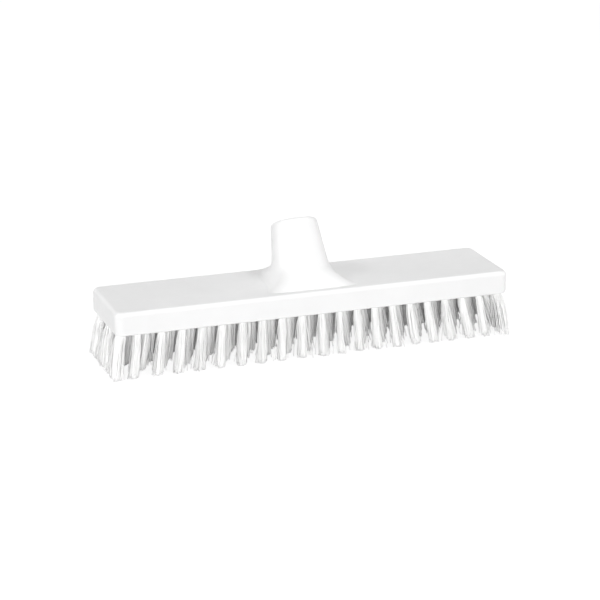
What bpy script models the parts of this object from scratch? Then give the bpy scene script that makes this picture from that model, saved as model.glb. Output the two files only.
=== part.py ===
"""Deck brush head: a moulded block with a leaning, threaded handle socket, and staggered tufts.

Metres, +Z up. The bristle tips stand on Z = 0 under the middle of the block. X runs along the
block, -Y is the front, and the socket leans back towards +Y.
"""

import math

import bmesh
import bpy
from mathutils import Matrix, Vector

# Block
BLOCK_LENGTH = 0.305
BLOCK_WIDTH = 0.070
BLOCK_THICKNESS = 0.0175
CORNER_RADIUS = 0.006
TOP_EDGE_RADIUS = 0.0035
BOTTOM_EDGE_RADIUS = 0.0012

# Handle socket, measured along its own axis from the block's top face
SOCKET_LEAN = math.radians(26)
SOCKET_LENGTH = 0.044
RIM_RADIUS = 0.0172
RIM_ROUNDING = 0.0028
TAPER_ANGLE = math.radians(6.6)

# Flare from the socket to the top face. Its foot is square in front, with corners that spread
# out, and round behind, where it would reach past the back face and ends in one wall with it.
# It starts as a gentle skirt at the sides and as a steep wall in front
FLARE_HALF_LENGTH = 0.031
FLARE_CORNER_SPREAD = 0.0085
FLARE_FRONT_MARGIN = 0.003
FLARE_BACK_OVERRUN = 0.013
FLARE_FRONT_SQUARENESS = 7.0
FLARE_BACK_SQUARENESS = 2.5
FLARE_FRONT_RISE = 0.0135
FLARE_BACK_RISE = 0.018
FLARE_SIDE_BEND = 0.0052
FLARE_FRONT_BEND = 0.008
FLARE_SIDE_SKIRT = 0.45
FLARE_FRONT_SKIRT = 0.05
FLARE_FOOT_DEPTH = 0.0001

# Threaded bore
BORE_RADIUS = 0.011
BORE_DEPTH = 0.034
MOUTH_CHAMFER = 0.0010
THREAD_PITCH = 0.005
THREAD_HEIGHT = 0.0011
THREAD_RUN_OUT = 0.002

# Bristles, from the block's underside to the floor. The tufts stand wider apart on the left:
# the middle column is off the block's middle, and each half is spaced evenly from it
BRISTLE_LENGTH = 0.034
FLAT_CUT = 0.0005
COLUMNS_PER_SIDE = 20
END_MARGIN = 0.0062
MIDDLE_OFFSET = 0.006
END_SPLAY = 0.006
ROW_COUNT = 5
ROW_PITCH = 0.0122
TIP_ROW_PITCH = 0.0148

# Strands of one tuft, two by two, each square in section
ROOT_SPREAD = 0.0023
TIP_SPREAD = 0.0050
ROOT_STRAND_WIDTH = 0.0019
TIP_STRAND_WIDTH = 0.0026
STRAND_ROOTING = 0.001

# Slices of the block's underside that carry the tufts
SLICE_THICKNESS = 0.003
SLICE_MARGIN = 0.0012
CLEARANCE = 0.0003

# Mesh fineness
SOCKET_SEGMENTS = 96
FLARE_STEPS = 12
FLARE_STEP_GROWTH = 1.6
RIM_STEPS = 4
CORNER_SEGMENTS = 6
EDGE_SEGMENTS = 4
BORE_SEGMENTS = 24
RINGS_PER_THREAD = 6
HALVINGS = 24
SHARP_ANGLE = math.radians(35)
SINK = 0.004

UNDERSIDE = BRISTLE_LENGTH
BLOCK_TOP = UNDERSIDE + BLOCK_THICKNESS
BACK_WALL = BLOCK_WIDTH / 2 - FLARE_FOOT_DEPTH
FLARE_FRONT_REACH = BLOCK_WIDTH / 2 - TOP_EDGE_RADIUS - FLARE_FRONT_MARGIN
SOCKET_AXIS = Vector((0, math.sin(SOCKET_LEAN), math.cos(SOCKET_LEAN)))
OUTER_COLUMN = BLOCK_LENGTH / 2 - END_MARGIN
TUFT_REACH = (ROOT_SPREAD + ROOT_STRAND_WIDTH) / 2 + SLICE_MARGIN


def clear_scene():
    """Removes whatever the file opened with."""
    for old in list(bpy.data.objects):
        bpy.data.objects.remove(old, do_unlink=True)


def make_material(name, colour, roughness):
    """A plain Principled material."""
    material = bpy.data.materials.new(name)
    material.use_nodes = True
    shader = material.node_tree.nodes["Principled BSDF"]
    shader.inputs["Base Color"].default_value = (*colour, 1)
    shader.inputs["Roughness"].default_value = roughness
    shader.inputs["Metallic"].default_value = 0
    return material


def object_from(bm, name, material=None):
    """Turns a bmesh into an object of the scene, its faces turned outwards."""
    bmesh.ops.recalc_face_normals(bm, faces=bm.faces)
    mesh = bpy.data.meshes.new(name)
    bm.to_mesh(mesh)
    bm.free()
    obj = bpy.data.objects.new(name, mesh)
    bpy.context.scene.collection.objects.link(obj)
    if material:
        mesh.materials.append(material)
    return obj


def combine(target, tool, operation):
    """Adds or cuts a helper object, which then stays out of the render."""
    tool.hide_render = True
    tool.display_type = "WIRE"
    modifier = target.modifiers.new(f"{operation.lower()} {tool.name}", "BOOLEAN")
    modifier.operation = operation
    modifier.object = tool


def shade_round(obj):
    """Smooth shading, except across sharp edges."""
    obj.data.shade_smooth()
    obj.data.set_sharp_from_angle(angle=SHARP_ANGLE)
    return obj


def round_edges(bm, chosen, radius, segments):
    """Rounds the edges that a test picks out."""
    bmesh.ops.bevel(
        bm, geom=[edge for edge in bm.edges if chosen(edge)], offset=radius,
        segments=segments, profile=0.5, affect="EDGES", clamp_overlap=True,
    )


def box(left, right, depth, bottom, top):
    """A bmesh box between two places along the block and two heights, centred across the block."""
    bm = bmesh.new()
    middle = Matrix.Translation(((left + right) / 2, 0, (bottom + top) / 2))
    size = Matrix.Diagonal((right - left, depth, top - bottom, 1))
    bmesh.ops.create_cube(bm, size=1, matrix=middle @ size)
    return bm


def loft(rings):
    """Skins rings of points in order and closes both ends."""
    bm = bmesh.new()
    loops = [[bm.verts.new(point) for point in ring] for ring in rings]
    for lower, upper in zip(loops, loops[1:]):
        for i in range(len(lower)):
            j = (i + 1) % len(lower)
            bm.faces.new((lower[i], lower[j], upper[j], upper[i]))
    bm.faces.new(reversed(loops[0]))
    bm.faces.new(loops[-1])
    return bm


def slab(material):
    """The block without its socket: a bar with rounded corners and edges."""
    bm = box(-BLOCK_LENGTH / 2, BLOCK_LENGTH / 2, BLOCK_WIDTH, UNDERSIDE, BLOCK_TOP)

    def upright(edge):
        return abs(edge.verts[0].co.z - edge.verts[1].co.z) > SINK

    def lies_at(height):
        return lambda edge: all(abs(vert.co.z - height) < CLEARANCE for vert in edge.verts)

    round_edges(bm, upright, CORNER_RADIUS, CORNER_SEGMENTS)
    round_edges(bm, lies_at(BLOCK_TOP), TOP_EDGE_RADIUS, EDGE_SEGMENTS)
    round_edges(bm, lies_at(UNDERSIDE), BOTTOM_EDGE_RADIUS, EDGE_SEGMENTS)
    return shade_round(object_from(bm, "block", material))


def socket_point(along, radius, angle):
    """A point at a distance along the socket's axis, a radius from it and an angle round it."""
    sideways = Vector((1, 0, 0))
    backward = Vector((0, math.cos(SOCKET_LEAN), -math.sin(SOCKET_LEAN)))
    outward = math.cos(angle) * sideways + math.sin(angle) * backward
    return Vector((0, 0, BLOCK_TOP)) + along * SOCKET_AXIS + radius * outward


def cone_radius(along):
    """The socket's outer radius, before its rim is rounded."""
    return RIM_RADIUS + (SOCKET_LENGTH - along) * math.tan(TAPER_ANGLE)


def cone_point_at(height, angle):
    """Where the cone's side at an angle reaches a height above the block's top face."""
    fall = math.sin(angle) * math.sin(SOCKET_LEAN)
    rise = math.cos(SOCKET_LEAN) + fall * math.tan(TAPER_ANGLE)
    along = (height + cone_radius(0) * fall) / rise
    return socket_point(along, cone_radius(along), angle)


def flare_foot(angle):
    """A point of the flare's outline, just under the top face."""
    across, back = math.cos(angle), math.sin(angle)
    half_width = BLOCK_WIDTH / 2 + FLARE_BACK_OVERRUN
    power = FLARE_BACK_SQUARENESS
    if back < 0:
        half_width = FLARE_FRONT_REACH
        power = FLARE_FRONT_SQUARENESS
    reach = (abs(across / FLARE_HALF_LENGTH) ** power + abs(back / half_width) ** power) ** (-1 / power)
    forward_share = max(-reach * back / half_width, 0)
    spread = 1 + forward_share**2 * FLARE_CORNER_SPREAD / FLARE_HALF_LENGTH
    return Vector((reach * across * spread, reach * back, BLOCK_TOP - FLARE_FOOT_DEPTH))


def flare_curve(angle, share):
    """A point of the flare's plain surface, from its foot at 0 to its smooth joint with the cone at 1."""
    foot = flare_foot(angle)
    forward = max(-foot.y / FLARE_FRONT_REACH, 0) ** 2
    backward = max(math.sin(angle), 0)
    skirt_share = FLARE_SIDE_SKIRT * (1 - forward) + FLARE_FRONT_SKIRT * forward
    bend_height = FLARE_SIDE_BEND * (1 - forward) + FLARE_FRONT_BEND * forward
    rise = FLARE_FRONT_RISE * (1 - backward) + FLARE_BACK_RISE * backward
    skirt = foot.lerp(cone_point_at(0, angle), skirt_share)
    bend, neck = cone_point_at(bend_height, angle), cone_point_at(rise, angle)
    rest = 1 - share
    return rest**3 * foot + 3 * rest**2 * share * skirt + 3 * rest * share**2 * bend + share**3 * neck


def wall_share(angle):
    """How far up the flare's curve comes in front of the back wall."""
    if flare_curve(angle, 0).y <= BACK_WALL:
        return 0
    behind, before = 0, 1
    for _ in range(HALVINGS):
        middle = (behind + before) / 2
        if flare_curve(angle, middle).y > BACK_WALL:
            behind = middle
        else:
            before = middle
    return before


def flare_point(angle, share):
    """A point of the flare, which starts at the back wall where it would reach past it.

    Its back edge is rounded off like the block's own.
    """
    start = wall_share(angle)
    point = flare_curve(angle, start + share * (1 - start))
    into_edge = max(point.y - (BLOCK_WIDTH / 2 - TOP_EDGE_RADIUS), 0)
    point.z -= TOP_EDGE_RADIUS - math.sqrt(TOP_EDGE_RADIUS**2 - into_edge**2)
    return point


def rim_point(turn, angle):
    """A point of the rim's rounding, from the cone's side at turn 0 to the rim's flat face at turn 1."""
    centre_along = SOCKET_LENGTH - RIM_ROUNDING
    centre_radius = cone_radius(centre_along) - RIM_ROUNDING / math.cos(TAPER_ANGLE)
    lift = TAPER_ANGLE + turn * (math.pi / 2 - TAPER_ANGLE)
    along = centre_along + RIM_ROUNDING * math.sin(lift)
    return socket_point(along, centre_radius + RIM_ROUNDING * math.cos(lift), angle)


def socket_body():
    """The solid socket with its flare, sunk a little into the block."""
    angles = [2 * math.pi * i / SOCKET_SEGMENTS for i in range(SOCKET_SEGMENTS)]
    shares = [(step / FLARE_STEPS) ** FLARE_STEP_GROWTH for step in range(FLARE_STEPS + 1)]
    flare = [[flare_point(angle, share) for angle in angles] for share in shares]
    sunk = [Vector((point.x, point.y, BLOCK_TOP - SINK)) for point in flare[0]]
    rim = [[rim_point(step / RIM_STEPS, angle) for angle in angles] for step in range(RIM_STEPS + 1)]
    return shade_round(object_from(loft([sunk] + flare + rim), "socket_body"))


def bore_radius(depth, angle):
    """The bore's radius at a depth below the rim: a chamfered mouth, then a ridge that winds round."""
    phase = depth / THREAD_PITCH - angle / (2 * math.pi)
    ridge = THREAD_HEIGHT * (0.5 - 0.5 * math.cos(2 * math.pi * phase))
    from_ends = min(depth - MOUTH_CHAMFER, BORE_DEPTH - depth)
    fade = min(max(from_ends / THREAD_RUN_OUT, 0), 1)
    return BORE_RADIUS + max(MOUTH_CHAMFER - depth, 0) - ridge * fade


def bore():
    """The space inside the threaded socket, reaching out past the rim."""
    angles = [2 * math.pi * i / BORE_SEGMENTS for i in range(BORE_SEGMENTS)]
    ring_count = math.ceil(BORE_DEPTH / THREAD_PITCH * RINGS_PER_THREAD)
    depths = [BORE_DEPTH * i / ring_count for i in range(ring_count, -1, -1)] + [-MOUTH_CHAMFER]
    rings = [
        [socket_point(SOCKET_LENGTH - depth, bore_radius(depth, angle), angle) for angle in angles]
        for depth in depths
    ]
    return shade_round(object_from(loft(rings), "bore"))


def column_place(number):
    """Where a column of tufts stands along the block, the middle column being number 0."""
    outermost = math.copysign(OUTER_COLUMN, number)
    return MIDDLE_OFFSET + (outermost - MIDDLE_OFFSET) * abs(number) / COLUMNS_PER_SIDE


def slice_edge(number):
    """The middle of the joint between a column's slice and the next one to its right."""
    if abs(number + 0.5) > COLUMNS_PER_SIDE:
        return math.copysign(OUTER_COLUMN + TUFT_REACH, number)
    return (column_place(number) + column_place(number + 1)) / 2


def slice_depth():
    """A slice's size across the block, a margin past the outer tufts."""
    return (ROW_COUNT - 1) * ROW_PITCH + 2 * TUFT_REACH


def slice_recess():
    """The pocket under the block that the slices fill."""
    left = slice_edge(-COLUMNS_PER_SIDE - 1) - CLEARANCE / 2
    right = slice_edge(COLUMNS_PER_SIDE) + CLEARANCE / 2
    depth = slice_depth() + 2 * CLEARANCE
    top = UNDERSIDE + SLICE_THICKNESS + CLEARANCE
    return object_from(box(left, right, depth, UNDERSIDE - SINK, top), "slice_recess")


def block(material):
    """The moulded block, its socket and the pocket for the tufts' slices."""
    body = slab(material)
    combine(body, socket_body(), "UNION")
    combine(body, bore(), "DIFFERENCE")
    combine(body, slice_recess(), "DIFFERENCE")
    return body


def square_ring(centre, width):
    """Four corners of a level square."""
    half = width / 2
    corners = ((-half, -half), (half, -half), (half, half), (-half, half))
    return [centre + Vector((x, y, 0)) for x, y in corners]


def strand(number, row, side_x, side_y):
    """One strand's root and tip squares, from inside its slice to just under the floor."""
    root_x = column_place(number)
    tip_x = root_x * (1 + END_SPLAY / OUTER_COLUMN)
    root_y, tip_y = row * ROW_PITCH, row * TIP_ROW_PITCH
    root = Vector((root_x + side_x * ROOT_SPREAD / 2, root_y + side_y * ROOT_SPREAD / 2, UNDERSIDE))
    tip = Vector((tip_x + side_x * TIP_SPREAD / 2, tip_y + side_y * TIP_SPREAD / 2, 0))
    lean = (tip - root) / BRISTLE_LENGTH
    return [
        square_ring(root - STRAND_ROOTING * lean, ROOT_STRAND_WIDTH),
        square_ring(tip + FLAT_CUT * lean, TIP_STRAND_WIDTH),
    ]


def strands(number, rows, name):
    """The strands of one column's tufts, cut flat on the floor."""
    bm = bmesh.new()
    for row in rows:
        for side_x in (-1, 1):
            for side_y in (-1, 1):
                piece = bpy.data.meshes.new(name)
                single = loft(strand(number, row, side_x, side_y))
                single.to_mesh(piece)
                single.free()
                bm.from_mesh(piece)
                bpy.data.meshes.remove(piece)
    everything = bm.verts[:] + bm.edges[:] + bm.faces[:]
    cut = bmesh.ops.bisect_plane(
        bm, geom=everything, plane_co=(0, 0, 0), plane_no=(0, 0, -1), clear_outer=True,
    )["geom_cut"]
    bmesh.ops.holes_fill(bm, edges=[item for item in cut if isinstance(item, bmesh.types.BMEdge)])
    return object_from(bm, name)


def tuft_column(number, material):
    """A slice of the block's underside with two or three tufts, whose rows alternate between columns."""
    outer_row = (ROW_COUNT - 1) // 2
    rows = [row for row in range(-outer_row, outer_row + 1) if (row - number) % 2 == 0]
    name = f"tuft_column_{number + COLUMNS_PER_SIDE + 1:02d}"
    left = slice_edge(number - 1) + CLEARANCE / 2
    right = slice_edge(number) - CLEARANCE / 2
    carrier = box(left, right, slice_depth(), UNDERSIDE, UNDERSIDE + SLICE_THICKNESS)
    body = object_from(carrier, name, material)
    combine(body, strands(number, rows, f"{name}_strands"), "UNION")
    return body


def main():
    clear_scene()
    plastic = make_material("white_polypropylene", (0.88, 0.88, 0.88), 0.42)
    filament = make_material("white_polyester_filament", (0.90, 0.90, 0.88), 0.35)
    block(plastic)
    for number in range(-COLUMNS_PER_SIDE, COLUMNS_PER_SIDE + 1):
        tuft_column(number, filament)


main()
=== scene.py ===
"""Deck brush head: the looks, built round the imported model.

Metres, +Z up. The bristle tips stand on Z = 0 under the middle of the block. X runs along the
block, -Y is the front, and the handle socket leans back towards +Y.
"""

import logging
import math
from collections.abc import Callable, Iterator, Sequence
from contextlib import contextmanager
from dataclasses import dataclass, field
from enum import Enum

import bpy
import numpy as np
from mathutils import Matrix, Vector


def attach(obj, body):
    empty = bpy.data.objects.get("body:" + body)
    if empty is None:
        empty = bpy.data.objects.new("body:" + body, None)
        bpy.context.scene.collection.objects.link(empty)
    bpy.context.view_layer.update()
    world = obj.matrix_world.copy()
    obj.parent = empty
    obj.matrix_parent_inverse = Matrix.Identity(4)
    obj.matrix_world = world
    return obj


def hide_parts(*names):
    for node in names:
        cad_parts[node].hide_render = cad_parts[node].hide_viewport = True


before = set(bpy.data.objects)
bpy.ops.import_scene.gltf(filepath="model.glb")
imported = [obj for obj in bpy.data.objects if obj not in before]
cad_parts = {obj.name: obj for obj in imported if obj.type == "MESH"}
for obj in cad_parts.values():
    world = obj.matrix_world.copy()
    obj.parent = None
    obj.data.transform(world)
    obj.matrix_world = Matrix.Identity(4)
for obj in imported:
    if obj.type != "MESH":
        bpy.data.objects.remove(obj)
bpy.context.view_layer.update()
LOG = logging.getLogger("deck_brush_head")
BODY = "root"

# the height of the block's underside, which is also the bristles' length outside it
UNDERSIDE = 0.034
# how near to a face counts as on it, how near doubles lie, and what counts as no length
TOUCH = 1e-5
MERGE = 1e-7
TINY = 1e-9
# the bristles' own attributes
TONE_ATTRIBUTE = "strand_tone"
RUN_ATTRIBUTE = "strand_run"

Thing = bpy.types.Object
Socket = bpy.types.NodeSocket
Inputs = dict[int | str, object]
Array = np.ndarray
Chance = np.random.Generator
Span = tuple[float, float]
Place = tuple[float, float, float]
EdgeTest = Callable[[Vector, Vector], bool]
ZERO_TO_ONE = (0.0, 1.0)
MAP_INPUTS = ("Value", "From Min", "From Max", "To Min", "To Max")
# the band in which most of a noise pattern's values lie
NOISE_BAND = (0.3, 0.7)
NOISE_MIDDLE = 0.5


class Slot(Enum):
    """The record's material slots."""

    PLASTIC = "moulded_plastic"
    FILAMENT = "filament"


class Joining(Enum):
    """What a second shape does to the first."""

    ADD = "UNION"
    CUT = "DIFFERENCE"


# ---- bench


class Workpiece:
    """One mesh on the bench, shaped with Blender's own modelling tools."""

    def __init__(self, name: str) -> None:
        """Takes the primitive that was just added, and names it."""
        self.thing: Thing = bpy.context.active_object
        self.thing.name = self.thing.data.name = name

    @classmethod
    def cube(cls, name: str, size: Sequence[float], middle: Sequence[float]) -> "Workpiece":
        """Adds a box.

        Args:
            name: The piece's name.
            size: Its three sides.
            middle: Where its middle lies.

        Returns:
            The new piece.
        """
        bpy.ops.mesh.primitive_cube_add(size=1, location=middle)
        piece = cls(name)
        piece.thing.scale = size
        return piece.settle()

    @classmethod
    def rod(cls, name: str, sides: int, radius: float, bottom: float, top: float) -> "Workpiece":
        """Adds an upright cylinder on the Z axis.

        Args:
            name: The piece's name.
            sides: How many sides it has.
            radius: Its radius.
            bottom: The height of its lower end.
            top: The height of its upper end.

        Returns:
            The new piece.
        """
        bpy.ops.mesh.primitive_cylinder_add(
            vertices=sides, radius=radius, depth=top - bottom, end_fill_type="NGON",
            location=(0, 0, (bottom + top) / 2),
        )
        return cls(name).settle()

    @classmethod
    def skin(cls, name: str, rings: Sequence[Sequence[Vector]]) -> "Workpiece":
        """Wraps a flat grid round rings of points, joins its seam and closes both ends.

        Args:
            name: The piece's name.
            rings: The rings in order, all with as many points.

        Returns:
            The new closed piece.
        """
        across, along = len(rings[0]), len(rings) - 1
        bpy.ops.mesh.primitive_grid_add(x_subdivisions=across, y_subdivisions=along, size=1)
        piece = cls(name)
        for vertex in piece.thing.data.vertices:
            column = round((vertex.co.x + 0.5) * across)
            row = round((vertex.co.y + 0.5) * along)
            vertex.co = rings[row][column % across]
        with piece.editing():
            bpy.ops.mesh.select_all(action="SELECT")
            bpy.ops.mesh.remove_doubles(threshold=MERGE)
            bpy.ops.mesh.select_all(action="SELECT")
            bpy.ops.mesh.fill_holes(sides=0)
            bpy.ops.mesh.select_all(action="SELECT")
            bpy.ops.mesh.normals_make_consistent(inside=False)
        return piece

    def activate(self) -> None:
        """Makes this the only selected object."""
        bpy.ops.object.select_all(action="DESELECT")
        self.thing.select_set(True)
        bpy.context.view_layer.objects.active = self.thing

    def settle(self) -> "Workpiece":
        """Puts the object's place, turn and size into its mesh.

        Returns:
            The piece itself.
        """
        self.activate()
        bpy.ops.object.transform_apply(location=True, rotation=True, scale=True)
        return self

    @contextmanager
    def editing(self) -> Iterator[None]:
        """Opens edit mode with edge selection for the lines inside the with block."""
        self.activate()
        bpy.context.tool_settings.mesh_select_mode = (False, True, False)
        bpy.ops.object.mode_set(mode="EDIT")
        yield
        bpy.ops.object.mode_set(mode="OBJECT")

    def pick_edges(self, wanted: EdgeTest) -> None:
        """Selects edges by where they lie, and nothing else.

        Args:
            wanted: Says from an edge's two ends whether it is taken.
        """
        mesh = self.thing.data
        for group in (mesh.vertices, mesh.edges, mesh.polygons):
            group.foreach_set("select", [False] * len(group))
        for edge in mesh.edges:
            first, second = (mesh.vertices[index] for index in edge.vertices)
            if wanted(first.co, second.co):
                edge.select = first.select = second.select = True

    def round_edges(self, wanted: EdgeTest, radius: float, steps: int) -> None:
        """Gives some of the edges a rounding.

        Args:
            wanted: Says from an edge's two ends whether it is rounded.
            radius: Its radius.
            steps: How many faces it has.
        """
        self.pick_edges(wanted)
        with self.editing():
            bpy.ops.mesh.bevel(
                offset=radius, segments=steps, profile=0.5, affect="EDGES", clamp_overlap=True,
            )

    def slice_at(self, height: float) -> None:
        """Cuts a level ring of edges into the mesh.

        Args:
            height: Where the ring lies.
        """
        with self.editing():
            bpy.ops.mesh.select_all(action="SELECT")
            bpy.ops.mesh.bisect(plane_co=(0, 0, height), plane_no=(0, 0, 1))

    def apply(self, modifier: bpy.types.Modifier) -> None:
        """Applies a modifier to the mesh."""
        self.activate()
        bpy.ops.object.modifier_apply(modifier=modifier.name)

    def combine(self, other: "Workpiece", how: Joining) -> None:
        """Adds or cuts another piece, which is used up.

        Args:
            other: The second shape.
            how: Whether it is added or cut.
        """
        modifier = self.thing.modifiers.new(how.name.lower(), "BOOLEAN")
        modifier.solver = "EXACT"
        modifier.operation = how.value
        modifier.object = other.thing
        self.apply(modifier)
        other.discard()

    def discard(self) -> None:
        """Removes the piece and its mesh."""
        mesh = self.thing.data
        bpy.data.objects.remove(self.thing)
        bpy.data.meshes.remove(mesh)

    def copy_to(self, name: str, move: Matrix) -> "Workpiece":
        """Copies the piece, mesh and all.

        Args:
            name: The copy's name.
            move: Where the copy goes.

        Returns:
            The copy.
        """
        self.activate()
        bpy.ops.object.duplicate(linked=False)
        copy = Workpiece(name)
        copy.thing.data.transform(move)
        return copy

    def absorb(self, others: Sequence["Workpiece"]) -> None:
        """Joins other pieces to this one as they are.

        Args:
            others: The pieces, which are used up.
        """
        self.activate()
        for piece in others:
            piece.thing.select_set(True)
        bpy.ops.object.join()

    def shade(self, sharp_angle: float) -> None:
        """Shades the piece smooth up to an angle, with its flat faces kept flat.

        Args:
            sharp_angle: The angle above which an edge stays sharp.
        """
        self.activate()
        bpy.ops.object.shade_smooth_by_angle(angle=sharp_angle)
        modifier = self.thing.modifiers.new("flat faces first", "WEIGHTED_NORMAL")
        modifier.keep_sharp = True
        modifier.weight = 100
        self.apply(modifier)

    def deliver(self, slot: Slot, *nodes: str) -> Thing:
        """Hands the finished piece over to the frame.

        Args:
            slot: The record's slot for its finish. Not used.
            nodes: The CAD nodes that it stands for.

        Returns:
            The finished object.
        """
        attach(self.thing, BODY)
        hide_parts(*nodes)
        return self.thing


# ---- finishes


@dataclass(frozen=True)
class Pattern:
    """A noise pattern: how many blotches it has to a metre, and how many finer layers."""

    scale: float
    detail: float


@dataclass(frozen=True)
class Nodes:
    """Short hand for building a material's or world's node tree."""

    tree: bpy.types.NodeTree

    def feed(self, node: bpy.types.Node, inputs: Inputs) -> None:
        """Links or sets some of a node's inputs.

        Args:
            node: The node.
            inputs: A socket or a value for each input, by its name or number.
        """
        for name, value in inputs.items():
            if isinstance(value, Socket):
                self.tree.links.new(value, node.inputs[name])
            else:
                node.inputs[name].default_value = value

    def add(self, kind: str, inputs: Inputs, **settings: str) -> bpy.types.Node:
        """Adds a node.

        Args:
            kind: Blender's type of node, such as ShaderNodeMath.
            inputs: A socket or a value for each input, by its name or number.
            settings: Properties that are set on it.

        Returns:
            The new node.
        """
        node = self.tree.nodes.new(kind)
        for name, value in settings.items():
            setattr(node, name, value)
        self.feed(node, inputs)
        return node

    def math(self, operation: str, *values: object) -> Socket:
        """Adds one of Blender's sums of sockets and numbers."""
        return self.add("ShaderNodeMath", dict(enumerate(values)), operation=operation).outputs[0]

    def more(self, value: Socket, part: Socket, share: float) -> Socket:
        """Adds a share of one value to another."""
        return self.math("ADD", value, self.math("MULTIPLY", part, share))

    def less(self, value: Socket, part: Socket, share: float) -> Socket:
        """Takes a share of one value from another."""
        return self.math("SUBTRACT", value, self.math("MULTIPLY", part, share))

    def between(self, value: Socket, source: Span, target: Span) -> Socket:
        """Maps a value smoothly from one range to another."""
        inputs = dict(zip(MAP_INPUTS, (value, *source, *target)))
        return self.add("ShaderNodeMapRange", inputs, interpolation_type="SMOOTHSTEP").outputs[0]

    def noise(self, place: Socket, pattern: Pattern) -> Socket:
        """Lays a noise pattern on coordinates, with values of about 0.5 on average."""
        inputs = {"Vector": place, "Scale": pattern.scale, "Detail": pattern.detail}
        return self.add("ShaderNodeTexNoise", inputs).outputs["Fac"]

    def grey(self, value: Socket, tint: Place) -> Socket:
        """Makes a tint as bright as a value says."""
        inputs = {0: tint, "Scale": value}
        return self.add("ShaderNodeVectorMath", inputs, operation="SCALE").outputs[0]

    def bump(self, height: Socket, distance: float, strength: float) -> Socket:
        """Turns a height into a normal, the distance being what a height of 1 stands for."""
        inputs = {"Height": height, "Distance": distance, "Strength": strength}
        return self.add("ShaderNodeBump", inputs).outputs[0]

    def seen(self) -> Socket:
        """Tells the rays that show the background: from the camera, a gloss or a clear piece.

        Returns:
            A socket that is 1 for these rays and 0 for the others.
        """
        rays = self.add("ShaderNodeLightPath", {}).outputs
        direct = self.math("MAXIMUM", rays["Is Camera Ray"], rays["Is Glossy Ray"])
        return self.math("MAXIMUM", direct, rays["Is Transmission Ray"])


def new_finish(name: str) -> tuple[bpy.types.Material, Nodes, bpy.types.Node]:
    """Starts a material with one Principled shader.

    Args:
        name: The material's name.

    Returns:
        The material, its node builder and its shader.
    """
    material = bpy.data.materials.new(name)
    material.use_nodes = True
    return material, Nodes(material.node_tree), material.node_tree.nodes["Principled BSDF"]


@dataclass(frozen=True)
class MouldedWhite:
    """Satin white polypropylene as it comes from the mould, rubbed a little along its edges."""

    block: "MouldedBlock"
    tint: Place = (0.82, 0.82, 0.82)
    roughness: Span = (0.35, 0.46)
    clouds: Pattern = Pattern(28.0, 3.0)
    cloud_tones: Span = (0.985, 1.01)
    grain: Pattern = Pattern(900.0, 2.0)
    grain_tone: float = 0.012
    grain_relief: float = 0.35
    waves: Pattern = Pattern(45.0, 1.0)
    relief_height: float = 0.00012
    relief_share: float = 0.6
    scuffs: Pattern = Pattern(260.0, 4.0)
    scuff_band: Span = (0.42, 0.62)
    scuff_wear: Span = (0.35, 1.0)
    edge_reach: float = 0.0032
    rim_reach: float = 0.0030
    top_margin: float = 0.0005
    wear_tone: float = 0.02
    wear_polish: float = 0.10

    def near_face(self, nodes: Nodes, value: Socket, limit: float) -> Socket:
        """Rises to 1 towards two faces of the block that lie as far as a limit from its middle."""
        away = nodes.math("ABSOLUTE", value)
        return nodes.between(away, (limit - self.edge_reach, limit), ZERO_TO_ONE)

    def edge_rub(self, nodes: Nodes, place: Socket) -> Socket:
        """Marks the block's edges and the socket's rim, which rub first.

        Args:
            nodes: The builder.
            place: The object coordinates.

        Returns:
            A socket from 0 on the faces to 1 on the edges.
        """
        parts = nodes.add("ShaderNodeSeparateXYZ", {0: place}).outputs
        middle = self.block.underside + self.block.thickness / 2
        end = self.near_face(nodes, parts["X"], self.block.length / 2)
        side = self.near_face(nodes, parts["Y"], self.block.width / 2)
        above = nodes.math("SUBTRACT", parts["Z"], middle)
        face = self.near_face(nodes, above, self.block.thickness / 2)
        corners = nodes.math("MULTIPLY", end, side)
        borders = nodes.math("MULTIPLY", nodes.math("MAXIMUM", end, side), face)
        on_block = nodes.math("LESS_THAN", parts["Z"], self.block.top + self.top_margin)
        block_edges = nodes.math("MULTIPLY", nodes.math("ADD", corners, borders), on_block)
        socket = self.block.socket
        inputs = {0: place, 1: socket.axis}
        along = nodes.add("ShaderNodeVectorMath", inputs, operation="DOT_PRODUCT").outputs["Value"]
        rim_at = self.block.top * socket.axis.z + socket.length
        rim = nodes.between(along, (rim_at - self.rim_reach, rim_at), ZERO_TO_ONE)
        return nodes.math("MINIMUM", nodes.math("MAXIMUM", block_edges, rim), 1.0)

    def make(self) -> bpy.types.Material:
        """Builds the material.

        Returns:
            The finished material.
        """
        material, nodes, shader = new_finish("moulded_white_polypropylene")
        place = nodes.add("ShaderNodeTexCoord", {}).outputs["Object"]
        patterns = (self.clouds, self.grain, self.scuffs, self.waves)
        clouds, grain, scuffs, waves = (nodes.noise(place, pattern) for pattern in patterns)
        wear = nodes.between(scuffs, self.scuff_band, self.scuff_wear)
        worn = nodes.math("MULTIPLY", self.edge_rub(nodes, place), wear)
        tone = nodes.between(clouds, NOISE_BAND, self.cloud_tones)
        tone = nodes.more(tone, nodes.math("SUBTRACT", grain, NOISE_MIDDLE), self.grain_tone)
        rough = nodes.between(scuffs, NOISE_BAND, self.roughness)
        relief = nodes.more(waves, grain, self.grain_relief)
        nodes.feed(shader, {
            "Base Color": nodes.grey(nodes.more(tone, worn, self.wear_tone), self.tint),
            "Roughness": nodes.less(rough, worn, self.wear_polish),
            "Normal": nodes.bump(relief, self.relief_height, self.relief_share),
            "IOR": 1.49,
            "Subsurface Weight": 0.08,
            "Subsurface Radius": (1.0, 1.0, 1.0),
            "Subsurface Scale": 0.0015,
        })
        return material


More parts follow.
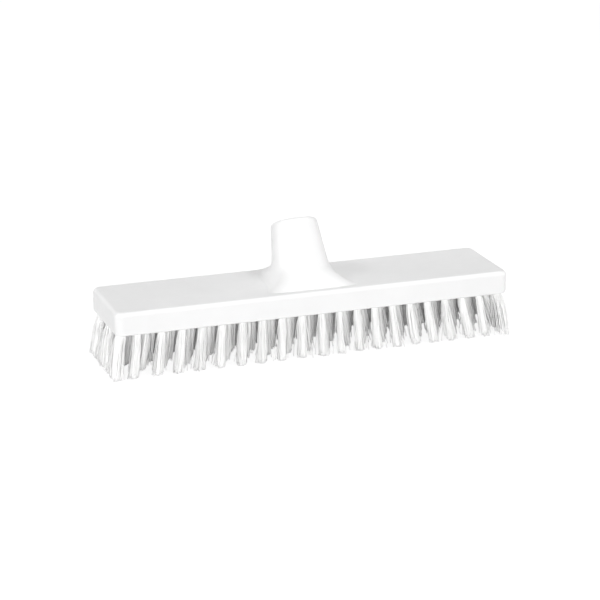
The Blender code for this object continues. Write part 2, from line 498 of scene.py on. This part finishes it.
@dataclass(frozen=True)
class FilamentWhite:
    """Stiff white polyester filament, a little uneven from bristle to bristle."""

    tint: Place = (0.950, 0.950, 0.946)
    roughness: Span = (0.28, 0.42)
    strand_tones: Span = (0.97, 1.01)
    streaks: Pattern = Pattern(700.0, 2.0)
    streak_tone: float = 0.04
    cut_band: Span = (0.965, 0.995)
    cut_shade: float = 0.24
    cut_roughness: float = 0.25
    ripple: Pattern = Pattern(1600.0, 1.0)
    ripple_height: float = 0.00003
    ripple_share: float = 0.5

    def make(self) -> bpy.types.Material:
        """Builds the material.

        Returns:
            The finished material.
        """
        material, nodes, shader = new_finish("white_polyester_filament")
        place = nodes.add("ShaderNodeTexCoord", {}).outputs["Object"]
        tone, run = (
            nodes.add("ShaderNodeAttribute", {}, attribute_name=name).outputs["Fac"]
            for name in (TONE_ATTRIBUTE, RUN_ATTRIBUTE)
        )
        streaks, ripple = nodes.noise(place, self.streaks), nodes.noise(place, self.ripple)
        cut_end = nodes.between(run, self.cut_band, ZERO_TO_ONE)
        shade = nodes.between(tone, ZERO_TO_ONE, self.strand_tones)
        shade = nodes.more(shade, nodes.math("SUBTRACT", streaks, NOISE_MIDDLE), self.streak_tone)
        rough = nodes.between(streaks, NOISE_BAND, self.roughness)
        nodes.feed(shader, {
            "Base Color": nodes.grey(nodes.less(shade, cut_end, self.cut_shade), self.tint),
            "Roughness": nodes.more(rough, cut_end, self.cut_roughness),
            "Normal": nodes.bump(ripple, self.ripple_height, self.ripple_share),
            "IOR": 1.55,
        })
        return material


# ---- moulding


def blend(first: float, second: float, share: float) -> float:
    """A value between two others, the first at share 0 and the second at share 1."""
    return first * (1 - share) + second * share


def steps_up(count: int) -> list[float]:
    """Even steps from 0 to 1."""
    return [step / count for step in range(count + 1)]


def turns(count: int) -> list[float]:
    """The angles of points spaced evenly round a ring."""
    return [2 * math.pi * step / count for step in range(count)]


@dataclass
class HandleSocket:
    """The leaning handle socket: a tapered tube, threaded inside, that flares into the block."""

    block_top: float
    block_width: float
    edge_radius: float
    lean: float = math.radians(26)
    length: float = 0.044
    rim_radius: float = 0.0172
    rim_rounding: float = 0.0028
    taper: float = math.radians(6.6)
    flare_half_length: float = 0.0310
    corner_spread: float = 0.0085
    front_margin: float = 0.003
    back_overrun: float = 0.013
    front_squareness: float = 7.0
    back_squareness: float = 2.5
    front_rise: float = 0.0135
    back_rise: float = 0.018
    side_bend: float = 0.0052
    front_bend: float = 0.0080
    side_skirt: float = 0.45
    front_skirt: float = 0.05
    foot_depth: float = 0.0001
    sink: float = 0.004
    bore_radius: float = 0.011
    bore_depth: float = 0.034
    mouth_chamfer: float = 0.001
    thread_pitch: float = 0.005
    thread_height: float = 0.0011
    thread_run_out: float = 0.002
    segments: int = 192
    flare_steps: int = 20
    flare_grading: float = 1.6
    wall_search_steps: int = 24
    rim_steps: int = 8
    bore_segments: int = 72
    rings_per_thread: int = 12

    @property
    def axis(self) -> Vector:
        """The direction in which the socket leans."""
        return Vector((0, math.sin(self.lean), math.cos(self.lean)))

    @property
    def front_reach(self) -> float:
        """How far the flare's foot reaches to the front."""
        return self.block_width / 2 - self.edge_radius - self.front_margin

    def point(self, along: float, radius: float, angle: float) -> Vector:
        """A point placed round the socket's axis.

        Args:
            along: Its distance along the axis from the block's top face.
            radius: Its distance from the axis.
            angle: The angle round the axis, from +X towards the back.

        Returns:
            The point.
        """
        backward = Vector((0, math.cos(self.lean), -math.sin(self.lean)))
        outward = math.cos(angle) * Vector((1, 0, 0)) + math.sin(angle) * backward
        return Vector((0, 0, self.block_top)) + along * self.axis + radius * outward

    def cone_radius(self, along: float) -> float:
        """The tube's outer radius at a distance along the axis."""
        return self.rim_radius + (self.length - along) * math.tan(self.taper)

    def cone_point_at(self, height: float, angle: float) -> Vector:
        """Where the tube's side reaches a height.

        Args:
            height: The height above the block's top face.
            angle: The angle round the axis.

        Returns:
            The point on the tube's side.
        """
        fall = math.sin(angle) * math.sin(self.lean)
        rise = math.cos(self.lean) + fall * math.tan(self.taper)
        along = (height + self.cone_radius(0) * fall) / rise
        return self.point(along, self.cone_radius(along), angle)

    def foot(self, angle: float) -> Vector:
        """A point of the flare's outline: square in front with spread corners, round behind.

        Args:
            angle: The angle round the axis.

        Returns:
            The point, a little below the block's top face.
        """
        across, back = math.cos(angle), math.sin(angle)
        half_width, power = self.block_width / 2 + self.back_overrun, self.back_squareness
        if back < 0:
            half_width, power = self.front_reach, self.front_squareness
        shares = abs(across / self.flare_half_length) ** power + abs(back / half_width) ** power
        reach = shares ** (-1 / power)
        forward = max(-reach * back / half_width, 0)
        spread = 1 + forward**2 * self.corner_spread / self.flare_half_length
        return Vector((reach * across * spread, reach * back, self.block_top - self.foot_depth))

    def flare_curve(self, angle: float, share: float) -> Vector:
        """A point of the flare's plain surface, a curve with four control points.

        Args:
            angle: The angle round the axis.
            share: The share of the way from the foot to the tube.

        Returns:
            The point.
        """
        foot = self.foot(angle)
        forward = max(-foot.y / self.front_reach, 0) ** 2
        skirt_share = blend(self.side_skirt, self.front_skirt, forward)
        skirt = foot.lerp(self.cone_point_at(0, angle), skirt_share)
        bend = self.cone_point_at(blend(self.side_bend, self.front_bend, forward), angle)
        backward = max(math.sin(angle), 0)
        neck = self.cone_point_at(blend(self.front_rise, self.back_rise, backward), angle)
        rest = 1 - share
        lower = rest**3 * foot + 3 * share * rest**2 * skirt
        return lower + 3 * share**2 * rest * bend + share**3 * neck

    def wall_share(self, angle: float) -> float:
        """How far up the flare's curve comes in front of the block's back face.

        Args:
            angle: The angle round the axis.

        Returns:
            The share of the curve, 0 where it is in front all along.
        """
        back_wall = self.block_width / 2 - self.foot_depth
        if self.flare_curve(angle, 0).y <= back_wall:
            return 0.0
        behind, before = 0.0, 1.0
        for _ in range(self.wall_search_steps):
            middle = (behind + before) / 2
            if self.flare_curve(angle, middle).y > back_wall:
                behind = middle
            else:
                before = middle
        return before

    def flare_point(self, angle: float, share: float) -> Vector:
        """A point of the flare, whose back edge is rounded off like the block's own.

        Args:
            angle: The angle round the axis.
            share: The share of the way from the flare's lower edge to the tube.

        Returns:
            The point.
        """
        start = self.wall_share(angle)
        point = self.flare_curve(angle, start + share * (1 - start))
        into_edge = max(point.y - (self.block_width / 2 - self.edge_radius), 0)
        point.z -= self.edge_radius - math.sqrt(self.edge_radius**2 - into_edge**2)
        return point

    def rim_point(self, turn: float, angle: float) -> Vector:
        """A point of the rim's rounding.

        Args:
            turn: The share of the way from the tube's side to the flat rim.
            angle: The angle round the axis.

        Returns:
            The point.
        """
        centre_along = self.length - self.rim_rounding
        centre_radius = self.cone_radius(centre_along) - self.rim_rounding / math.cos(self.taper)
        lift = self.taper + turn * (math.pi / 2 - self.taper)
        along = centre_along + self.rim_rounding * math.sin(lift)
        return self.point(along, centre_radius + self.rim_rounding * math.cos(lift), angle)

    def solid(self) -> Workpiece:
        """Models the socket without its bore, sunk a little into the block.

        Returns:
            The closed solid.
        """
        angles = turns(self.segments)
        shares = [step**self.flare_grading for step in steps_up(self.flare_steps)]
        flare = [[self.flare_point(angle, share) for angle in angles] for share in shares]
        sunk = [Vector((point.x, point.y, self.block_top - self.sink)) for point in flare[0]]
        rim_turns = steps_up(self.rim_steps)
        rim = [[self.rim_point(turn, angle) for angle in angles] for turn in rim_turns]
        return Workpiece.skin("socket_solid", [sunk, *flare, *rim])

    def bore_reach(self, depth: float, angle: float) -> float:
        """The bore's radius: a chamfered mouth, then a winding ridge.

        Args:
            depth: The depth below the rim.
            angle: The angle round the axis.

        Returns:
            The radius.
        """
        phase = depth / self.thread_pitch - angle / (2 * math.pi)
        ridge = self.thread_height * (0.5 - 0.5 * math.cos(2 * math.pi * phase))
        from_ends = min(depth - self.mouth_chamfer, self.bore_depth - depth)
        fade = min(max(from_ends / self.thread_run_out, 0), 1)
        return self.bore_radius + max(self.mouth_chamfer - depth, 0) - ridge * fade

    def hollow(self) -> Workpiece:
        """Models the space inside the bore, reaching out past the rim.

        Returns:
            The closed solid, from the bore's bottom upwards.
        """
        count = math.ceil(self.bore_depth / self.thread_pitch * self.rings_per_thread)
        depths = [self.bore_depth * step / count for step in range(count, -1, -1)]
        rings = [
            [
                self.point(self.length - depth, self.bore_reach(depth, angle), angle)
                for angle in turns(self.bore_segments)
            ]
            for depth in (*depths, -self.mouth_chamfer)
        ]
        return Workpiece.skin("socket_hollow", rings)


@dataclass(frozen=True)
class TuftPlan:
    """Where the tufts stand in the block and where their tips reach the floor."""

    underside: float = UNDERSIDE
    outer_column: float = 0.1463
    middle_offset: float = 0.006
    columns_per_side: int = 20
    rows_per_side: int = 2
    row_pitch: float = 0.0122
    tip_row_pitch: float = 0.0148
    left_splay: float = 0.058
    right_splay: float = 0.046
    most_splay: float = 0.0062
    odd_tuft: tuple[int, int] = (-18, -2)
    odd_shift: float = -0.0032
    end_columns: int = 2
    least_root_radius: float = 0.0024
    left_root_radius: float = 0.0028
    end_root_radii: Span = (0.0040, 0.0034)

    def numbers(self) -> range:
        """The columns' numbers, the middle one being 0."""
        return range(-self.columns_per_side, self.columns_per_side + 1)

    def from_end(self, number: int) -> int:
        """How many columns stand between a column and the nearer end."""
        return self.columns_per_side - abs(number)

    def at_end(self, number: int) -> bool:
        """Whether a column is one of those at the ends, whose tufts are fuller."""
        return self.from_end(number) < self.end_columns

    def root_radius(self, number: int) -> float:
        """How thick a column's tufts are in their holes, fuller towards the left end.

        Args:
            number: The column's number.

        Returns:
            The tufts' radius.
        """
        if self.at_end(number):
            return self.end_root_radii[self.from_end(number)]
        leftward = max(-number, 0) / self.columns_per_side
        return self.least_root_radius + (self.left_root_radius - self.least_root_radius) * leftward

    def rows(self, number: int) -> list[int]:
        """The rows in which a column has tufts: every other one, staggered by column."""
        rows = range(-self.rows_per_side, self.rows_per_side + 1)
        return [row for row in rows if (row - number) % 2 == 0]

    def column_x(self, number: int) -> float:
        """Where a column stands along the block."""
        way = math.copysign(self.outer_column, number) - self.middle_offset
        return self.middle_offset + way * abs(number) / self.columns_per_side

    def root(self, number: int, row: int) -> Vector:
        """The middle of a tuft where it leaves the block."""
        shift = self.odd_shift if (number, row) == self.odd_tuft else 0.0
        return Vector((self.column_x(number) + shift, row * self.row_pitch, self.underside))

    def tip(self, number: int, row: int) -> Vector:
        """The middle of a tuft on the floor.

        Args:
            number: The column's number.
            row: The tuft's row.

        Returns:
            The place on the floor.
        """
        root = self.root(number, row)
        share = self.left_splay if root.x < 0 else self.right_splay
        splay = math.copysign(min(abs(root.x) * share, self.most_splay), root.x)
        return Vector((root.x + splay, row * self.tip_row_pitch, 0))

    def slope(self, number: int, row: int) -> Vector:
        """How far a tuft moves sideways for each metre that it goes down."""
        return (self.tip(number, row) - self.root(number, row)) / self.underside


@dataclass
class MouldedBlock:
    """The one white moulding: a rounded bar, the handle socket and the drilled tuft holes."""

    plan: TuftPlan
    length: float = 0.305
    width: float = 0.070
    thickness: float = 0.0175
    underside: float = UNDERSIDE
    corner_radius: float = 0.006
    corner_steps: int = 10
    top_edge_radius: float = 0.0035
    top_edge_steps: int = 8
    bottom_edge_radius: float = 0.0012
    bottom_edge_steps: int = 5
    hole_radius: float = 0.0029
    hole_margin: float = 0.0004
    hole_depth: float = 0.009
    hole_chamfer: float = 0.0004
    hole_sides: int = 20
    sharp_angle: float = math.radians(35)
    socket: HandleSocket = field(init=False)

    def __post_init__(self) -> None:
        """Sets the socket on the block's top face."""
        self.socket = HandleSocket(self.top, self.width, self.top_edge_radius)

    @property
    def top(self) -> float:
        """The height of the block's top face."""
        return self.underside + self.thickness

    def bar(self) -> Workpiece:
        """Models the plain bar and rounds its corners and edges.

        Returns:
            The bar.
        """
        middle = (0, 0, self.underside + self.thickness / 2)
        bar = Workpiece.cube("moulded_block", (self.length, self.width, self.thickness), middle)
        top, bottom = self.top - TOUCH, self.underside + TOUCH
        bar.round_edges(
            lambda a, b: abs(a.z - b.z) > self.thickness / 2, self.corner_radius, self.corner_steps,
        )
        bar.round_edges(lambda a, b: min(a.z, b.z) > top, self.top_edge_radius, self.top_edge_steps)
        bar.round_edges(
            lambda a, b: max(a.z, b.z) < bottom, self.bottom_edge_radius, self.bottom_edge_steps,
        )
        return bar

    def drill(self) -> Workpiece:
        """Models one tuft hole, with a small chamfer at its mouth, under the block's middle.

        Returns:
            The solid that cuts the hole.
        """
        bottom, top = self.underside - self.hole_chamfer, self.underside + self.hole_depth
        drill = Workpiece.rod("drill", self.hole_sides, self.hole_radius, bottom, top)
        drill.slice_at(self.underside + self.hole_chamfer)
        drill.pick_edges(lambda a, b: max(a.z, b.z) < self.underside)
        with drill.editing():
            widen = 1 + 2 * self.hole_chamfer / self.hole_radius
            bpy.ops.transform.resize(value=(widen, widen, 1), center_override=(0, 0, bottom))
        return drill

    def holes(self) -> Workpiece:
        """Copies the drill to every tuft, as wide as the tuft and leaning as it leans.

        Returns:
            All the holes in one piece.
        """
        drill = self.drill()
        about = Matrix.Translation((0, 0, self.underside))
        copies = []
        for number in self.plan.numbers():
            wide = (self.plan.root_radius(number) + self.hole_margin) / self.hole_radius
            for row in self.plan.rows(number):
                root, slope = self.plan.root(number, row), self.plan.slope(number, row)
                lean = Matrix.Diagonal((wide, wide, 1, 1))
                lean[0][2], lean[1][2] = -slope.x, -slope.y
                move = Matrix.Translation((root.x, root.y, 0)) @ about @ lean @ about.inverted()
                copies.append(drill.copy_to(f"hole_{number}_{row}", move))
        drill.discard()
        first, *others = copies
        first.absorb(others)
        return first

    def build(self) -> Thing:
        """Models the block and dresses it.

        Returns:
            The finished object.
        """
        block = self.bar()
        block.combine(self.socket.solid(), Joining.ADD)
        block.combine(self.socket.hollow(), Joining.CUT)
        block.combine(self.holes(), Joining.CUT)
        block.shade(self.sharp_angle)
        block.thing.data.materials.clear()
        block.thing.data.materials.append(MouldedWhite(self).make())
        return block.deliver(Slot.PLASTIC, "block")


# ---- bristles


def unit(vectors: Array, least: float = TINY) -> Array:
    """Divides vectors by their lengths, or by a least length where they are shorter."""
    return vectors / np.maximum(np.linalg.norm(vectors, axis=2, keepdims=True), least)


@dataclass
class Bristle:
    """One filament, modelled once and copied for every tuft."""

    radius: float = 0.00033
    length: float = 0.041
    sides: int = 4
    ring_shares: tuple[float, ...] = (0.18, 0.50, 0.80)
    tip_starts: float = 0.999
    tip_rounding: float = 0.6
    points: Array = field(init=False)
    faces: Array = field(init=False)

    def __post_init__(self) -> None:
        """Models the filament upright, with its root on the ground and its tip rounded."""
        rod = Workpiece.rod("bristle", self.sides, self.radius, 0.0, self.length)
        for share in self.ring_shares:
            rod.slice_at(share * self.length)
        near_tip = self.length * self.tip_starts
        rod.round_edges(lambda a, b: min(a.z, b.z) > near_tip, self.radius * self.tip_rounding, 1)
        mesh = rod.thing.data
        self.points = np.array([vertex.co for vertex in mesh.vertices])
        self.faces = np.array([list(face.vertices) for face in mesh.polygons])
        rod.discard()


@dataclass
class TuftColumn:
    """The two or three tufts that stand side by side across the block."""

    number: int
    plan: TuftPlan
    bristle: Bristle
    finish: bpy.types.Material
    first_seed: int = 7100
    bristles_per_tuft: int = 100
    root_depth: float = 0.007
    root_jitter: float = 0.00008
    fan: Span = (1.10, 1.50)
    end_fan: Span = (1.35, 2.3)
    end_lean: Span = (0.0010, 0.0085)
    spread_power: float = 1.1
    end_spread_power: float = 0.60
    ease: float = 0.0035
    tip_jitter: float = 0.00060
    tuft_wander: float = 0.0005
    stray_share: float = 0.09
    stray_reach: float = 0.0026
    bend: float = 0.0005
    thickness_span: Span = (0.92, 1.06)
    length_scatter: float = 0.0019
    tuft_scatter: float = 0.0004
    trimmed: float = 0.0005
    end_raggedness: float = 1.7
    end_crown: float = 0.0004
    crown_power: int = 5
    bundle_share: float = 2.0
    facing_margin: float = 0.25
    downward: float = -0.05
    reach: Span = (0.1559, 0.0348)

    @property
    def index(self) -> int:
        """The column's number from the left, starting at 1."""
        return self.number + self.plan.columns_per_side + 1

    @property
    def at_end(self) -> bool:
        """Whether the column is at an end."""
        return self.plan.at_end(self.number)

    def root_spots(self, chance: Chance) -> tuple[Array, Array]:
        """Places the bristles in their hole, each a golden angle on from the one before.

        Args:
            chance: The column's source of chance.

        Returns:
            Each bristle's share of the way out from the tuft's axis, and its place from the axis.
        """
        order = np.arange(self.bristles_per_tuft)
        share = np.sqrt((order + 0.5) / self.bristles_per_tuft)
        turn = order * math.pi * (3 - math.sqrt(5)) + chance.uniform(0, 2 * math.pi)
        around = np.stack([np.cos(turn), np.sin(turn)], axis=1)
        spot = self.plan.root_radius(self.number) * share[:, None] * around
        spot += chance.normal(0, self.root_jitter, spot.shape)
        return share, spot

    def tip_spots(self, spot: Array, chance: Chance) -> Array:
        """Fans the bristles out, and lets a few stray.

        Args:
            spot: The bristles' places in their hole.
            chance: The column's source of chance.

        Returns:
            Each tip's place from the tuft's own middle on the floor.
        """
        fan = chance.uniform(*self.fan, 2)
        if self.at_end:
            fan *= self.end_fan
        tip_spot = spot * fan + chance.normal(0, self.tip_jitter, spot.shape)
        strays = chance.random(len(spot)) < self.stray_share
        tip_spot[strays] += chance.normal(0, self.stray_reach, (int(strays.sum()), 2))
        return tip_spot

    def tip_heights(self, share: Array, chance: Chance) -> Array:
        """Ends the bristles raggedly, the outer ones a little higher.

        Args:
            share: Each bristle's share of the way out from the tuft's axis.
            chance: The column's source of chance.

        Returns:
            Each tip's height above the floor.
        """
        scatter = self.length_scatter * (self.end_raggedness if self.at_end else 1)
        ragged = np.abs(chance.normal(0, scatter, len(share)))
        ragged = ragged + self.end_crown * share**self.crown_power
        return np.maximum(ragged + abs(chance.normal(0, self.tuft_scatter)) - self.trimmed, 0)

    def sections(self, chance: Chance) -> Array:
        """Turns each bristle's cross-section and makes it a little thicker or thinner.

        Args:
            chance: The column's source of chance.

        Returns:
            Each bristle's points, seen from its own middle.
        """
        count = self.bristles_per_tuft
        thick = chance.uniform(*self.thickness_span, count)[:, None, None]
        twist = chance.uniform(0, math.pi / 2, count)
        cos, sin = np.cos(twist)[:, None], np.sin(twist)[:, None]
        x, y = self.bristle.points[None, :, 0], self.bristle.points[None, :, 1]
        return np.stack([cos * x - sin * y, sin * x + cos * y], axis=2) * thick

    def tuft(self, row: int, chance: Chance) -> tuple[Array, ...]:
        """Copies the bristle into one tuft.

        Args:
            row: The tuft's row.
            chance: The column's source of chance.

        Returns:
            The points, their normals, and each point's tone and share of the way from root to tip.
        """
        count, underside = self.bristles_per_tuft, self.plan.underside
        share, spot = self.root_spots(chance)
        tip_spot = self.tip_spots(spot, chance)
        root = np.array(self.plan.root(self.number, row).xy)
        tip = np.array(self.plan.tip(self.number, row).xy)
        tip_middle = tip + chance.normal(0, self.tuft_wander, 2)
        if self.at_end:
            end_lean = self.end_lean[self.plan.from_end(self.number)]
            tip_middle[0] += math.copysign(end_lean, self.number)
        tip_at = self.keep_inside(tip_middle + tip_spot)
        root_at = root + spot
        tip_height = self.tip_heights(share, chance)
        bend = chance.normal(0, self.bend, (count, 2))

        # each point's height, and how far it is down from the underside or up in the hole
        run = self.bristle.points[:, 2] / self.bristle.length
        top = underside + self.root_depth
        height = top - run[None, :] * (top - tip_height[:, None])
        fall = (underside - height) / underside
        outside = np.clip(fall, 0, 1)[:, :, None]
        inside = np.minimum(fall, 0)[:, :, None] * underside

        # straight in the hole, then spreading and bowed a little down to the floor
        in_hole = inside * ((tip - root) / underside)
        spread = outside ** (self.end_spread_power if self.at_end else self.spread_power)
        middle = root_at[:, None] + in_hole + spread * (tip_at - root_at)[:, None]
        middle = middle + 4 * outside * (1 - outside) * bend[:, None]
        section = self.sections(chance)
        points = np.concatenate([middle + section, height[:, :, None]], axis=2)
        axis = root + in_hole + spread * (tip_middle - root)
        normals = self.soft_normals(middle - axis, section)
        tone = np.repeat(chance.random(count)[:, None], len(run), axis=1)
        return points.reshape(-1, 3), normals.reshape(-1, 3), tone.ravel(), np.tile(run, count)

    def keep_inside(self, places: Array) -> Array:
        """Draws in the tips that would reach past the head's own length and width.

        Args:
            places: The tips' places on the floor.

        Returns:
            The places, eased off towards the limits.
        """
        start = np.array(self.reach) - self.ease
        over = np.maximum(np.abs(places) - start, 0)
        eased = np.minimum(np.abs(places), start) + self.ease * (1 - np.exp(-over / self.ease))
        return np.sign(places) * eased

    def soft_normals(self, off_axis: Array, section: Array) -> Array:
        """Turns the bristles' normals towards the tuft's outside, so that a tuft shades as one.

        Args:
            off_axis: Each point's bristle, seen from the tuft's axis.
            section: Each point, seen from its bristle's own middle.

        Returns:
            The normals, one for each point.
        """
        own = unit(section)
        outward = unit(off_axis, self.plan.least_root_radius)
        facing = (own * outward).sum(axis=2, keepdims=True) + self.facing_margin
        level = unit(own + self.bundle_share * np.clip(facing, 0, 1) * outward)
        return np.concatenate([level, np.full_like(level[:, :, :1], self.downward)], axis=2)

    def build(self) -> Thing:
        """Makes the column's tufts and dresses them.

        Returns:
            The finished object.
        """
        chance = np.random.default_rng(self.first_seed + self.index)
        tufts = [self.tuft(row, chance) for row in self.plan.rows(self.number)]
        points, normals, tone, run = (np.concatenate(parts) for parts in zip(*tufts))
        steps = np.arange(0, len(points), len(self.bristle.points))[:, None, None]
        faces = (self.bristle.faces[None] + steps).reshape(-1, self.bristle.sides)[:, ::-1]
        bpy.ops.mesh.primitive_plane_add()
        column = Workpiece(f"tufts_{self.index:02d}")
        mesh = column.thing.data
        mesh.clear_geometry()
        mesh.from_pydata(points.tolist(), [], faces.tolist())
        for attribute, values in ((TONE_ATTRIBUTE, tone), (RUN_ATTRIBUTE, run)):
            layer = mesh.attributes.new(attribute, "FLOAT", "POINT")
            layer.data.foreach_set("value", values.astype(np.float32))
        mesh.shade_smooth()
        mesh.normals_split_custom_set_from_vertices(normals.tolist())
        mesh.materials.append(self.finish)
        return column.deliver(Slot.FILAMENT, f"tuft_column_{self.index:02d}")


# ---- studio


@dataclass(frozen=True)
class Lamp:
    """A soft box, its size given across and upwards."""

    name: str
    place: Place
    size: Span
    power: float
    aim: Place = (0.0, 0.0, 0.045)

    def switch_on(self) -> None:
        """Puts the lamp up."""
        bpy.ops.object.light_add(type="AREA", location=self.place)
        lamp = bpy.context.active_object
        lamp.name = self.name
        lamp.data.shape = "RECTANGLE"
        lamp.data.size, lamp.data.size_y = self.size
        lamp.data.energy = self.power
        lamp.rotation_mode = "QUATERNION"
        lamp.rotation_quaternion = (Vector(self.aim) - Vector(self.place)).to_track_quat("-Z", "Y")


@dataclass(frozen=True)
class Studio:
    """A pale floor and soft light, with the background white to the camera."""

    sky: float = 0.147
    floor_size: float = 12.0
    floor_roughness: float = 0.9
    floor_bounce: float = 0.70
    floor_shadow_share: float = 0.27
    floor_glow: float = 0.87
    lamps: tuple[Lamp, ...] = (
        Lamp("front_panel", (-1.104, -3.296, 0.672), (1.1, 1.4), 91.5),
        Lamp("left_panel", (-2.137, 0.377, 0.359), (1.1, 0.7), 10.4),
        Lamp("top_left_panel", (-1.550, 0.136, 1.556), (0.6, 0.6), 8.2),
        Lamp("right_panel", (2.100, -0.400, 0.457), (1.1, 0.9), 8.2),
        Lamp("top_right_panel", (0.805, -0.465, 1.994), (1.1, 1.1), 19.6),
        Lamp("back_panel", (0.000, 2.170, 0.359), (2.6, 0.7), 6.0),
    )

    def world(self) -> None:
        """Sets the even light, which is white where it is seen."""
        world = bpy.data.worlds.new("studio")
        bpy.context.scene.world = world
        world.use_nodes = True
        nodes = Nodes(world.node_tree)
        nodes.feed(world.node_tree.nodes["Background"], {
            "Strength": nodes.between(nodes.seen(), ZERO_TO_ONE, (self.sky, 1.0)),
            "Color": (1, 1, 1, 1),
        })

    def floor(self) -> None:
        """Lays the floor, which keeps the shadow and is white round it."""
        bpy.ops.mesh.primitive_plane_add(size=self.floor_size)
        floor = Workpiece("studio_floor").thing
        material, nodes, shader = new_finish("studio_floor_white")
        seen = nodes.seen()
        bounce = nodes.between(seen, ZERO_TO_ONE, (self.floor_bounce, self.floor_shadow_share))
        nodes.feed(shader, {
            "Base Color": nodes.grey(bounce, (1, 1, 1)),
            "Roughness": self.floor_roughness,
            "Specular IOR Level": 0,
            "Emission Color": (1, 1, 1, 1),
            "Emission Strength": nodes.math("MULTIPLY", seen, self.floor_glow),
        })
        floor.data.materials.append(material)

    def build(self) -> None:
        """Sets the stage and the view."""
        self.world()
        self.floor()
        for lamp in self.lamps:
            lamp.switch_on()
        bpy.context.scene.view_settings.view_transform = "Standard"


@dataclass(frozen=True)
class PhotoCamera:
    """The camera where the photograph was taken from: front left, looking down on the block."""

    eye: Place = (-0.52070, -1.44070, 0.53270)
    yaw: float = math.radians(19.81)
    pitch: float = math.radians(18.01)
    focal_pixels: float = 2159.0
    frame_pixels: float = 600.0
    sensor_width: float = 36.0
    clipping: Span = (0.01, 100.0)

    def place(self) -> None:
        """Sets the camera up."""
        level = math.cos(self.pitch)
        across, ahead = math.sin(self.yaw) * level, math.cos(self.yaw) * level
        forward = Vector((across, ahead, -math.sin(self.pitch)))
        bpy.ops.object.camera_add(location=self.eye)
        camera = bpy.context.active_object
        camera.name = "photo_camera"
        camera.rotation_mode = "QUATERNION"
        camera.rotation_quaternion = forward.to_track_quat("-Z", "Y")
        camera.data.sensor_fit = "HORIZONTAL"
        camera.data.sensor_width = self.sensor_width
        camera.data.lens = self.focal_pixels * self.sensor_width / self.frame_pixels
        camera.data.clip_start, camera.data.clip_end = self.clipping
        bpy.context.scene.camera = camera


# ---- assembly


def main() -> None:
    """Builds the object and its studio, and reports each piece."""
    logging.basicConfig(level=logging.INFO, format="%(name)s: %(message)s")
    plan = TuftPlan()
    pieces = [MouldedBlock(plan).build()]
    bristle, finish = Bristle(), FilamentWhite().make()
    pieces += [TuftColumn(number, plan, bristle, finish).build() for number in plan.numbers()]
    for piece in pieces:
        mesh = piece.data
        LOG.info("%s: %d faces, %s", piece.name, len(mesh.polygons), mesh.materials[0].name)
    Studio().build()
    PhotoCamera().place()


if __name__ == "__main__":
    main()
